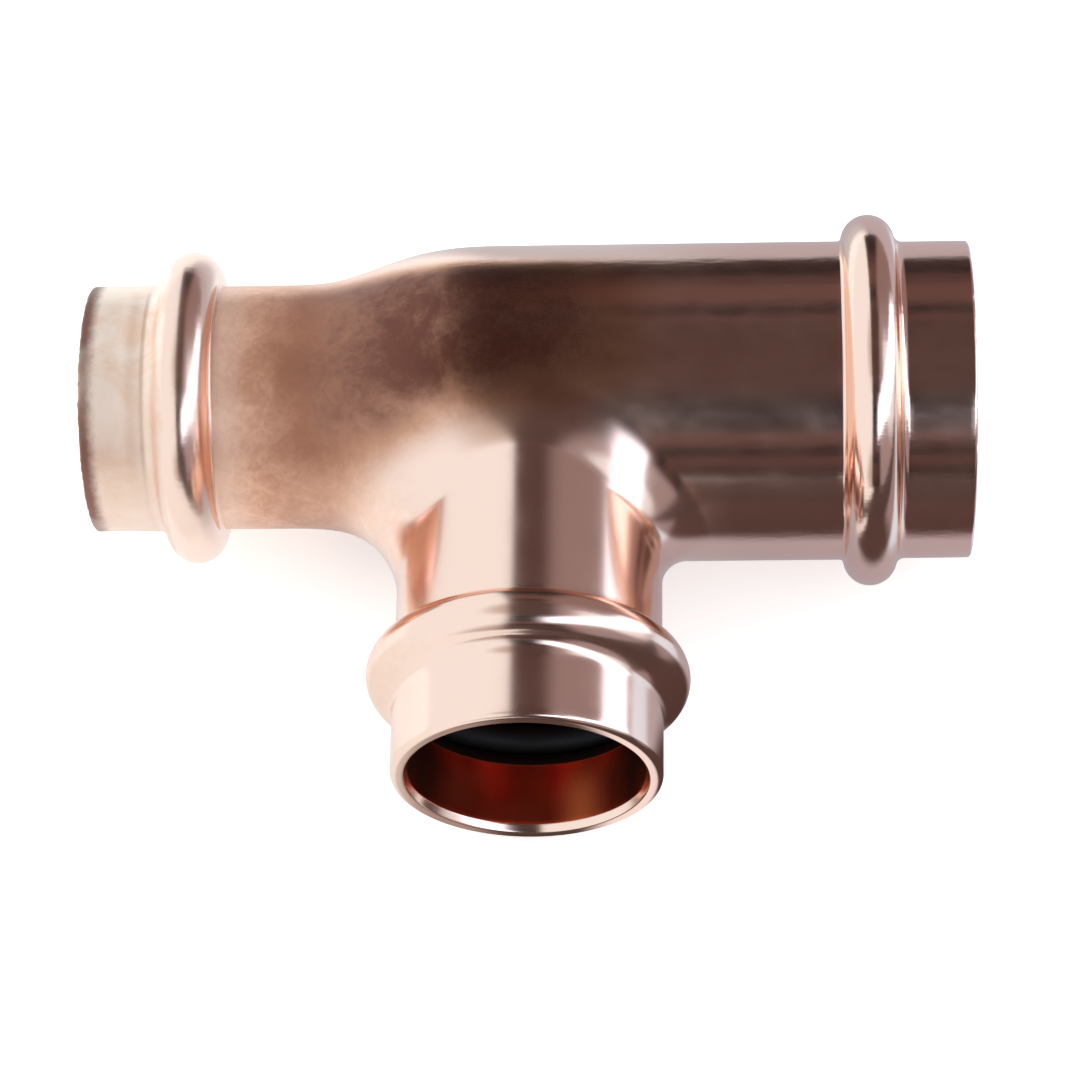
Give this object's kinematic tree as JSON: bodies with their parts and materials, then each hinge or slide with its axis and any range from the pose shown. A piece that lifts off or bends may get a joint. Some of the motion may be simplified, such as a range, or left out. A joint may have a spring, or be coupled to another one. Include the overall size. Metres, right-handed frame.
{
  "type": "press tee fitting",
  "caption": "Copper reducing press tee for plumbing: straight run with a large and a small socket, a square branch, raised sealing beads and rubber rings",
  "frame": {"origin": "the point where the run axis and the branch axis cross", "axes": "+X along the run out of the large socket, -Y along the branch out of its socket, +Z square to both, up when the tee lies flat"},
  "size_m": [0.086, 0.0594, 0.0364],
  "materials": {
    "copper": "polished",
    "seal_rubber": "matt"
  },
  "bodies": {
    "root": {"tee_body": "copper", "o_ring_run_large": "seal_rubber", "o_ring_run_small": "seal_rubber", "o_ring_branch": "seal_rubber"}
  },
  "joints": []
}
